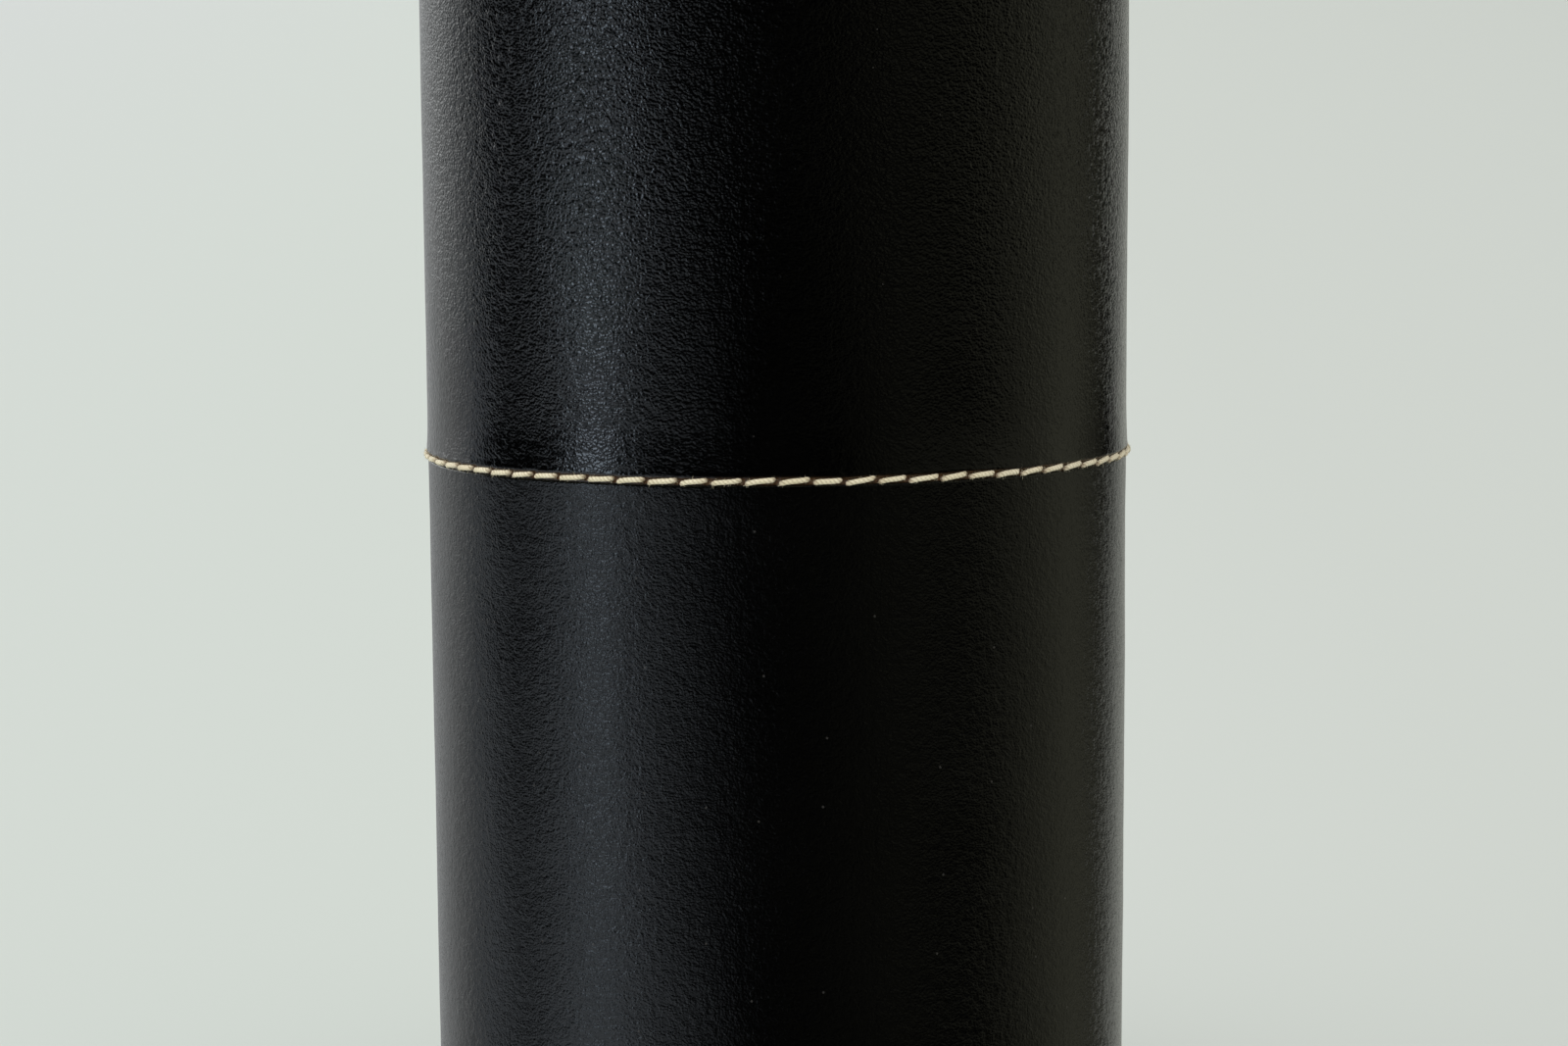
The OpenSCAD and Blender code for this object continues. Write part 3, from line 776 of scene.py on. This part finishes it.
def stitched_row(name, node, place, holes, outside, inside, narrowing, rise, samples, sides, fibres):
    """A row of stitches. place(along, across, out) gives places in mm; outside and inside are the depths
    of the thread's two runs; narrowing is how much nearer the holes lie to each other at the inner run."""
    points, faces, ends, valleys, hairs = [], [], [], [], []
    at, off = holes
    quads, _, _ = grid_faces(samples, sides, True, True)
    for k in range(len(at) - 1):
        a, b = at[k] + HOLE_INSET, at[k + 1] - HOLE_INSET
        tilt = rise * rng.normal(1, 0.16) * (1 if place is up_the_back else ease((a + b) / 2))
        low, high = off[k] - tilt / 2, off[k + 1] + tilt / 2
        crown = outside + rng.normal(0.01, 0.015)
        sag = rng.normal(0, 0.02)
        share = (b - a) * narrowing / 2
        back_low, back_high = off[k] - rise / 2, off[k + 1] + rise / 2
        # the last value of each key is how deep the thread lies in its hole, which its material browns,
        # partly as a stain and partly as painted shade
        key = np.array([
            (a + 0.01, low - 0.03, outside - 0.75, 1.0), (a, low - 0.05, outside - 0.38, 0.9),
            (a + 0.03, low - 0.05, outside - 0.13, 0.55), (a + 0.2, low - 0.01, crown - 0.01, 0.15),
            (a * 0.7 + b * 0.3, low * 0.68 + high * 0.32 + sag, crown + 0.02, 0.0),
            (a * 0.3 + b * 0.7, low * 0.32 + high * 0.68 + sag, crown + 0.02, 0.0),
            (b - 0.2, high - 0.01, crown - 0.01, 0.15), (b - 0.03, high, outside - 0.13, 0.55),
            (b, high, outside - 0.38, 0.9), (b - 0.01, high, outside - 0.75, 1.0),
            (b - share, back_high, inside + 0.35, 0.6), (b - share - 0.3, back_high, inside, 0.2),
            ((a + b) / 2, (back_low + back_high) / 2, inside - 0.02, 0.0),
            (a + share + 0.3, back_low, inside, 0.2), (a + share, back_low, inside + 0.35, 0.6),
        ])
        dense = closed_curve(key, 8)
        route = place(dense[:, 0], dense[:, 1], dense[:, 2])
        size = THREAD_R * rng.normal(1, 0.03) * (1 - 0.18 * dense[:, 3])
        ring, centres, valley = strand_loop(route, size, samples, sides, 1.3, rng.uniform(0, 6.28))
        middle = (np.array([(a + b) / 2]), np.array([0.0]), np.array([outside]))
        east = place(middle[0] + 0.01, middle[1], middle[2]) - place(*middle)
        north = place(middle[0], middle[1] + 0.01, middle[2]) - place(*middle)
        east, north = east[0] / np.linalg.norm(east), north[0] / np.linalg.norm(north)
        lean = ((ring - centres[:, None]) * north).sum(-1, keepdims=True)
        ring = ring + east * lean * 0.22
        points.append(ring.reshape(-1, 3))
        faces.append(quads + k * samples * sides)
        mark = np.interp(np.arange(samples) * len(dense) / samples, np.arange(len(dense) + 1),
                         np.append(dense[:, 3], dense[0, 3]))
        ends.append(np.repeat(mark, sides))
        valleys.append(valley.ravel())
        shown = np.nonzero(mark < 0.7)[0]
        shown = shown[shown < samples * 0.62]
        for _ in range(fibres):
            i, j = rng.choice(shown), rng.integers(sides)
            root, centre = ring[i, j], centres[i]
            away = (root - centre) / np.linalg.norm(root - centre)
            length = min(0.03 + rng.exponential(0.055), 0.3)
            drift = east * rng.normal(0, 0.9) + north * rng.normal(0, 0.6) + away * rng.uniform(0.4, 1.1)
            curl = rng.normal(0, 0.35, 3)
            hairs.append((root - away * 0.05, root + drift * length * 0.5,
                          root + drift * length + curl * length * 0.6))
    piece = new_piece(name, np.concatenate(points), np.concatenate(faces).tolist(), waxed_linen,
                      marks={"ends": np.concatenate(ends), "valley": np.concatenate(valleys)})
    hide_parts(node)
    loose = fibre_piece(name + "_fibres", hairs, 0.013)
    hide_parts(node)


def fibre_piece(name, hairs, radius):
    """Loose linen fibres, each a thin three-sided spike with a bend in it."""
    hairs = np.array(hairs)
    along = hairs[:, 2] - hairs[:, 0]
    first = np.cross(along, np.array([0.3, 0.2, 0.9]))
    first /= np.linalg.norm(first, axis=1, keepdims=True)
    second = np.cross(along, first)
    second /= np.linalg.norm(second, axis=1, keepdims=True)
    rings = []
    for step, size in ((0, 1.0), (1, 0.85), (2, 0.35)):
        for turn in (0, 2.094, 4.189):
            outward = first * math.cos(turn) + second * math.sin(turn)
            rings.append(hairs[:, step] + outward * radius * size)
    points = np.stack(rings, 1).reshape(-1, 3)
    one = []
    for level in (0, 3):
        for side in range(3):
            nearby = (side + 1) % 3
            one.append((level + side, level + nearby, level + 3 + nearby))
            one.append((level + side, level + 3 + nearby, level + 3 + side))
    one += [(2, 1, 0), (6, 7, 8)]
    faces = (np.array(one)[None] + np.arange(len(hairs))[:, None, None] * 9).reshape(-1, 3)
    return new_piece(name, points, faces.tolist(), waxed_linen,
                     marks={"ends": np.zeros(len(points)), "valley": np.zeros(len(points))})


def closed_curve(keys, steps):
    """A smooth closed curve through the keys, with steps points between each two."""
    before, here = np.roll(keys, 1, 0), keys
    after, beyond = np.roll(keys, -1, 0), np.roll(keys, -2, 0)
    t = (np.arange(steps) / steps)[None, :, None]
    p0, p1, p2, p3 = (k[:, None] for k in (before, here, after, beyond))
    curve = 0.5 * (2 * p1 + (p2 - p0) * t + (2 * p0 - 5 * p1 + 4 * p2 - p3) * t ** 2
                   + (3 * p1 - p0 - 3 * p2 + p3) * t ** 3)
    return curve.reshape(-1, keys.shape[1])


def round_the_wall(z, skin):
    def place(along, across, out):
        turn = along / R_WAIST
        radius = skin + SLOPE * across + out
        return np.stack([radius * np.sin(turn), -radius * np.cos(turn), z + across], 1)
    return place


def up_the_back(along, across, out):
    radius = outer_r(along) + out
    turn = math.pi - across / radius
    return np.stack([radius * np.sin(turn), -radius * np.cos(turn), along], 1)


def threads():
    bed = outer_r(WAIST_Z) + LAP_STEP * 0.8 - BED_DEPTH
    inner = cover_in(WAIST_Z) - THREAD_R - 0.06
    stitched_row("waist_stitches", "waist_thread", round_the_wall(WAIST_Z, bed), waist_holes,
                 THREAD_R + THREAD_PROUD, inner - bed, 1 - inner / R_WAIST, 0.24, 80, 18, 110)
    bed = outer_r(RIM_Z) - BED_DEPTH
    inner = turn_inside(RIM_Z) - THREAD_R + 0.19
    stitched_row("rim_stitches", "rim_thread", round_the_wall(RIM_Z, bed), rim_holes,
                 THREAD_R + THREAD_PROUD, inner - bed, 1 - inner / R_WAIST, 0.26, 72, 14, 12)
    back_rows = (("upper_back_stitches", "upper_back_thread", upper_holes),
                 ("lower_back_stitches", "lower_back_thread", lower_holes))
    for name, node, holes in back_rows:
        stitched_row(name, node, up_the_back, holes, THREAD_R + THREAD_PROUD - BED_DEPTH,
                     -COVER_T - THREAD_R - 0.06, 0, 0.26, 80, 16, 14)


# ---------------------------------------------------------------- lining and sole

def felt_lift(turn, height, radius):
    u, v = turn / (2 * math.pi) + 0.5, height / TOP_Z
    seam = -0.25 * np.exp(-((back_x(turn, radius) - EDGE_MARGIN) / 0.25) ** 2)
    return 0.04 * smooth_noise(160, 90, u, v, 5) + 0.03 * smooth_noise(60, 30, u, v, 6) + seam


def lining_wall():
    outline, shown = path_points([
        ([(felt_out(FELT_LOW), FELT_LOW), (felt_out(FELT_HIGH), FELT_HIGH)], 6, 0.0),
        ([(felt_out(FELT_HIGH), FELT_HIGH), (felt_in(FELT_HIGH), FELT_HIGH)], 0.5, 0.0),
        ([(felt_in(FELT_HIGH), FELT_HIGH), (felt_in(TURN_Z + 1), TURN_Z + 1)], 2, 0.0),
        ([(felt_in(TURN_Z + 1), TURN_Z + 1), (felt_in(FLOOR_HIGH - 0.5), FLOOR_HIGH - 0.5)], 0.8, 1.0),
        ([(felt_in(FLOOR_HIGH - 0.5), FLOOR_HIGH - 0.5), (felt_in(FELT_LOW), FELT_LOW),
          (felt_out(FELT_LOW), FELT_LOW)], 1, 0.0),
    ])
    piece = turned_skin("wall_felt", outline[:-1], shown[:-1], ring_columns(4), felt_lift, wool_felt)
    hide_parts("lining_wall")
    return piece


def disc_piece(name, node, radius, low, high, bevel, lift, material):
    """A round sheet with softened edges. lift raises its upper or lower face, in mm."""
    rings, columns = 40, 160
    flat = radius - bevel
    reach = [radius * t for t in np.linspace(0, 1, rings)[1:-1] ** 0.8 if radius * t < flat]
    rounded = (arc((flat, high - bevel), bevel, bevel, 90, 0, 6)
               + arc((flat, low + bevel), bevel, bevel, 0, -90, 6))
    outline = np.array([(x, high) for x in reach] + rounded + [(x, low) for x in reach[::-1]])
    angles = np.linspace(0, 2 * math.pi, columns, endpoint=False)
    r = np.repeat(outline[:, :1], columns, 1)
    z = np.repeat(outline[:, 1:], columns, 1)
    turn = np.repeat(angles[None], len(outline), 0)
    x, y = r * np.sin(turn), -r * np.cos(turn)
    z = z + lift(x, y, z)
    points = np.stack([x, y, z], -1).reshape(-1, 3)
    faces, _, _ = grid_faces(len(outline), columns, False, True)
    faces = faces[:, ::-1].tolist()
    top, bottom = len(points), len(points) + 1
    points = np.concatenate([points, [(0, 0, z[0].mean()), (0, 0, z[-1].mean())]])
    last = (len(outline) - 1) * columns
    for j in range(columns):
        k = (j + 1) % columns
        faces.append((top, j, k))
        faces.append((bottom, last + k, last + j))
    corners = [corner for face in faces for corner in face]
    piece = new_piece(name, points, faces, material, points[corners][:, :2] * MM + 0.1)
    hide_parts(node)
    return piece


def lining_floor():
    def lift(x, y, z):
        u, v = x / 80 + 0.5, y / 80 + 0.5
        return np.where(z > (FLOOR_LOW + FLOOR_HIGH) / 2, 0.05 * smooth_noise(90, 90, u, v, 7), 0)
    return disc_piece("floor_felt", "lining_floor", FLOOR_R, FLOOR_LOW, FLOOR_HIGH, 0.35, lift, wool_felt)


def sole():
    def lift(x, y, z):
        u, v = x / 80 + 0.5, y / 80 + 0.5
        return np.where(z < SOLE_TOP / 2, 0.03 * np.abs(smooth_noise(24, 24, u, v, 8)), 0)
    return disc_piece("sole_leather_disc", "sole", SOLE_R, 0, SOLE_TOP, 0.3, lift, sole_leather)


def boards():
    """The stiff pieces keep the frame's shapes and get their own finishes."""
    finishes = {
        "core_tube": ("fibreboard", (0.24, 0.16, 0.09), (0.42, 0.31, 0.2), 900, (1, 1, 1)),
        "base_board": ("birch_plywood", (0.5, 0.35, 0.2), (0.68, 0.52, 0.34), 260, (1, 8, 8)),
        "base_filler": ("grey_board", (0.25, 0.24, 0.22), (0.38, 0.36, 0.33), 1400, (1, 1, 1)),
        "floor_cushion": ("cork", (0.28, 0.16, 0.08), (0.55, 0.37, 0.2), 700, (1, 1, 1)),
    }
    for node, finish in finishes.items():
        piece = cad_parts[node]
        piece.data.materials.clear()
        piece.data.materials.append(board_material(*finish))


# ---------------------------------------------------------------- studio

def paper_material():
    """Pale paper with painted shade: its colour is a little darker towards the right, a painted fall-off
    of the light. The camera sees a part of its colour as it is, which keeps the cup's shadow on it faint."""
    material = bpy.data.materials.new("pale_paper_with_painted_falloff")
    tree = node_tree(material)
    place = add(tree, "ShaderNodeTexCoord")
    parts = add(tree, "ShaderNodeSeparateXYZ")
    wire(tree, place.outputs["Object"], parts.inputs[0])
    side = math_node(tree, "ADD", parts.outputs[0], 0.5)
    # painted shade: the colour darkens towards the right, as the light falls off
    tone = ramp(tree, side, [(0.1, (0.68, 0.71, 0.69)), (0.35, (0.667, 0.711, 0.668)),
                             (0.45, (0.658, 0.704, 0.656)), (0.53, (0.658, 0.694, 0.65)),
                             (0.6, (0.635, 0.668, 0.625)), (0.9, (0.6, 0.63, 0.59))])
    shader = add(tree, "ShaderNodeBsdfPrincipled", Roughness=0.9)
    shader.inputs["Specular IOR Level"].default_value = 0.1
    wire(tree, tone, shader.inputs["Base Color"])
    plain = add(tree, "ShaderNodeEmission", Strength=1.0)
    wire(tree, tone, plain.inputs["Color"])
    path = add(tree, "ShaderNodeLightPath")
    both = add(tree, "ShaderNodeMixShader")
    wire(tree, math_node(tree, "MULTIPLY", path.outputs["Is Camera Ray"], 0.68), both.inputs["Fac"])
    wire(tree, shader.outputs[0], both.inputs[1])
    wire(tree, plain.outputs[0], both.inputs[2])
    end = add(tree, "ShaderNodeOutputMaterial")
    wire(tree, both.outputs[0], end.inputs["Surface"])
    return material


def studio():
    """A pale floor that sweeps up into a backdrop behind the cup."""
    profile = [(-5.0, 0.0), (-1.0, 0.0), (0.0, 0.0), (1.0, 0.0), (4.5, 0.0)]
    bend = 1.5
    turns = np.linspace(0.1, math.pi / 2, 14)
    profile += [(4.5 + bend * math.sin(turn), bend - bend * math.cos(turn)) for turn in turns]
    profile += [(6.0, 3.0)]
    points = [(x, y, z) for y, z in profile for x in (-6, 6)]
    faces = [(2 * i, 2 * i + 1, 2 * i + 3, 2 * i + 2) for i in range(len(profile) - 1)]
    mesh = bpy.data.meshes.new("sweep")
    mesh.from_pydata(points, [], faces)
    mesh.polygons.foreach_set("use_smooth", np.ones(len(mesh.polygons), bool))
    mesh.materials.append(paper_material())
    sweep = bpy.data.objects.new("sweep", mesh)
    bpy.context.scene.collection.objects.link(sweep)
    sweep.visible_glossy = False


def soft_sun(name, bearing, height, strength, spread, colour):
    """A very wide, soft far light that lights the floor evenly. The gloss doesn't show it."""
    data = bpy.data.lights.new(name, "SUN")
    data.energy = strength
    data.angle = math.radians(spread)
    data.color = colour
    piece = bpy.data.objects.new(name, data)
    turn, up = math.radians(bearing), math.radians(height)
    towards = Vector((math.sin(turn) * math.cos(up), -math.cos(turn) * math.cos(up), math.sin(up)))
    piece.rotation_euler = towards.to_track_quat("Z", "Y").to_euler()
    piece.location = towards * 2
    piece.visible_glossy = False
    bpy.context.scene.collection.objects.link(piece)


# What the leather's gloss shows of the room. Each thing has four bearings from the front, in degrees and
# positive to the right, at which it begins, is full, starts to fade and ends. Then comes its light above
# the horizon, just below it, and from about nine degrees down.
ROOM = {
    "paper behind": ((144, 152, 232, 246), (0.58, 0.46, 0)),
    "floor behind": ((137, 143, 222, 244), (0, 0, 0.48)),
    "paper beside the window": ((180, 212, 233, 243), (0.7, 0.05, 0)),
    "edge of the paper": ((232, 242, 243, 250), (0, 0.35, 0)),
    "far end of the table": ((-128, -108, -108, -100), (0, 0, 0.76)),
    "table under the window": ((-104, -80, -58, -13), (0, 0, 0.87)),
    "window": ((-70, -68, -56, -54), (4, 0, 0)),
    "window sill": ((-76, -70, -46, -38), (0, 0.15, 0)),
    "dark floor in front": ((-14, 22, 38, 60), (0, 0, 0.04)),
    "wall": ((20, 44, 130, 138), (0.12, 0.08, 0)),
    "light falling on the wall": ((62, 82, 92, 126), (0.1, 0.12, 0)),
    "brightest part of the wall": ((92, 104, 108, 124), (0.18, 0.18, 0)),
    "floor by the wall": ((76, 92, 130, 138), (0, 0, 0.18)),
    "brightest part of that floor": ((104, 114, 116, 128), (0, 0, 0.13)),
}


def room_light(level):
    """The room's light at one of the three heights, as (bearing, light) wherever it bends."""
    things = [(reach, light[level]) for reach, light in ROOM.values() if light[level]]
    bends = {-180, 180}.union(*[{(bearing + 180) % 360 - 180 for bearing in reach} for reach, _ in things])

    def light_at(bearing):
        return sum(light * np.interp(turned, reach, (0, 1, 1, 0), left=0, right=0)
                   for reach, light in things for turned in (bearing, bearing + 360))
    return [(bearing, light_at(bearing)) for bearing in sorted(bends)]


def bearing_ramp(tree, fac, level, cool):
    """Light by bearing: cool on the left where the window is, warm on the right, neutral behind."""
    stops = []
    for bearing, light in room_light(level):
        if bearing < -125:
            tint = (0.99, 1.02, 1.02)
        elif bearing < 0:
            tint = (1 - cool, 1.0, 1 + cool)
        elif bearing < 140:
            tint = (1.03, 1.03, 0.76)
        else:
            tint = (1.0, 1.03, 0.93)
        stops.append((bearing / 360 + 0.5, tuple(light * t for t in tint)))
    return ramp(tree, fac, stops)


def surroundings():
    """The room: plain soft light from all round, and for the gloss a window on the left, a dark room
    behind the camera, a warm wall on the right and the pale paper behind."""
    world = bpy.data.worlds.new("room")
    bpy.context.scene.world = world
    world.use_nodes = True
    tree = world.node_tree
    tree.nodes.clear()
    place = add(tree, "ShaderNodeTexCoord")
    parts = add(tree, "ShaderNodeSeparateXYZ")
    wire(tree, place.outputs["Generated"], parts.inputs[0])
    forward = math_node(tree, "MULTIPLY", parts.outputs[1], -1.0)
    bearing = math_node(tree, "ARCTAN2", parts.outputs[0], forward)
    fac = math_node(tree, "MULTIPLY_ADD", bearing, 1 / (2 * math.pi))
    fac.node.inputs[2].default_value = 0.5

    def blend(factor, first, second):
        mix = add(tree, "ShaderNodeMix", data_type="RGBA")
        wire(tree, factor, mix.inputs["Factor"])
        wire(tree, first, mix.inputs["A"])
        wire(tree, second, mix.inputs["B"])
        return mix.outputs["Result"]

    def share(low, high):
        node = add(tree, "ShaderNodeMapRange", interpolation_type="SMOOTHSTEP")
        node.inputs["From Min"].default_value = low
        node.inputs["From Max"].default_value = high
        wire(tree, parts.outputs[2], node.inputs["Value"])
        return node.outputs["Result"]

    high = bearing_ramp(tree, fac, 0, 0.15)
    level = bearing_ramp(tree, fac, 1, 0.13)
    below = bearing_ramp(tree, fac, 2, 0.09)
    left = ramp(tree, fac, [(0.2, 0), (0.22, 1), (0.44, 1), (0.47, 0)])

    def scaled(colour, factor):
        node = add(tree, "ShaderNodeVectorMath", operation="SCALE")
        wire(tree, colour, node.inputs[0])
        wire(tree, factor, node.inputs["Scale"])
        return node.outputs[0]

    # the window is low, and the room is dark above it
    shut = math_node(tree, "MULTIPLY", left, share(0.12, 0.16))
    high = scaled(high, math_node(tree, "SUBTRACT", 1.0, shut))
    # what lies below it on the left is broken up into small lights and darks
    across = math_node(tree, "SINE", math_node(tree, "MULTIPLY", fac, 2 * math.pi * 45))
    upward = math_node(tree, "SINE", math_node(tree, "MULTIPLY", parts.outputs[2], 2 * math.pi / 0.09))
    broken = math_node(tree, "MULTIPLY", math_node(tree, "MULTIPLY", across, upward),
                       math_node(tree, "MULTIPLY", left, 0.9))
    below = scaled(below, math_node(tree, "ADD", 1.0, broken))

    seen = blend(share(-0.16, -0.08), below, level)
    seen = blend(share(-0.03, 0.01), seen, high)
    above = add(tree, "ShaderNodeRGB")
    above.outputs[0].default_value = (0.12, 0.125, 0.13, 1)
    seen = blend(share(0.5, 0.8), seen, above.outputs[0])

    path = add(tree, "ShaderNodeLightPath")
    plain = add(tree, "ShaderNodeBackground")
    plain.inputs["Color"].default_value = (1, 1, 1, 1)
    plain.inputs["Strength"].default_value = 0.5
    gloss = add(tree, "ShaderNodeBackground")
    wire(tree, seen, gloss.inputs["Color"])
    both = add(tree, "ShaderNodeMixShader")
    wire(tree, path.outputs["Is Glossy Ray"], both.inputs["Fac"])
    wire(tree, plain.outputs[0], both.inputs[1])
    wire(tree, gloss.outputs[0], both.inputs[2])
    end = add(tree, "ShaderNodeOutputWorld")
    wire(tree, both.outputs[0], end.inputs["Surface"])


def camera():
    """A long lens a little above the waist, leaning a touch, as the cup is seen from the front."""
    aim = Vector((0.018 * R_WAIST, 0, WAIST_Z - 0.211 * R_WAIST)) * MM
    rise, lean = math.radians(5.55), math.radians(-0.39)
    back = Vector((0, -math.cos(rise), math.sin(rise)))
    place = aim + back * 24 * R_WAIST * MM
    right = Vector((1, 0, 0))
    up = back.cross(right)
    leaned = right * math.cos(lean) + up * math.sin(lean)
    upright = back.cross(leaned)
    matrix = Matrix((leaned, upright, back)).transposed().to_4x4()
    matrix.translation = place
    data = bpy.data.cameras.new("camera")
    data.lens = 191.9
    data.sensor_width = 36
    data.clip_start = 0.01
    piece = bpy.data.objects.new("camera", data)
    piece.matrix_world = matrix
    bpy.context.scene.collection.objects.link(piece)
    bpy.context.scene.camera = piece


camera()
upper_cover()
lower_cover()
threads()
lining_wall()
lining_floor()
sole()
boards()
studio()
surroundings()
soft_sun("soft_window_light", -60, 40, 2.0, 110, (0.98, 1, 1.02))
soft_sun("soft_wall_light", 78, 30, 0.6, 110, (1, 0.97, 0.9))

bpy.context.scene.view_settings.view_transform = "Standard"
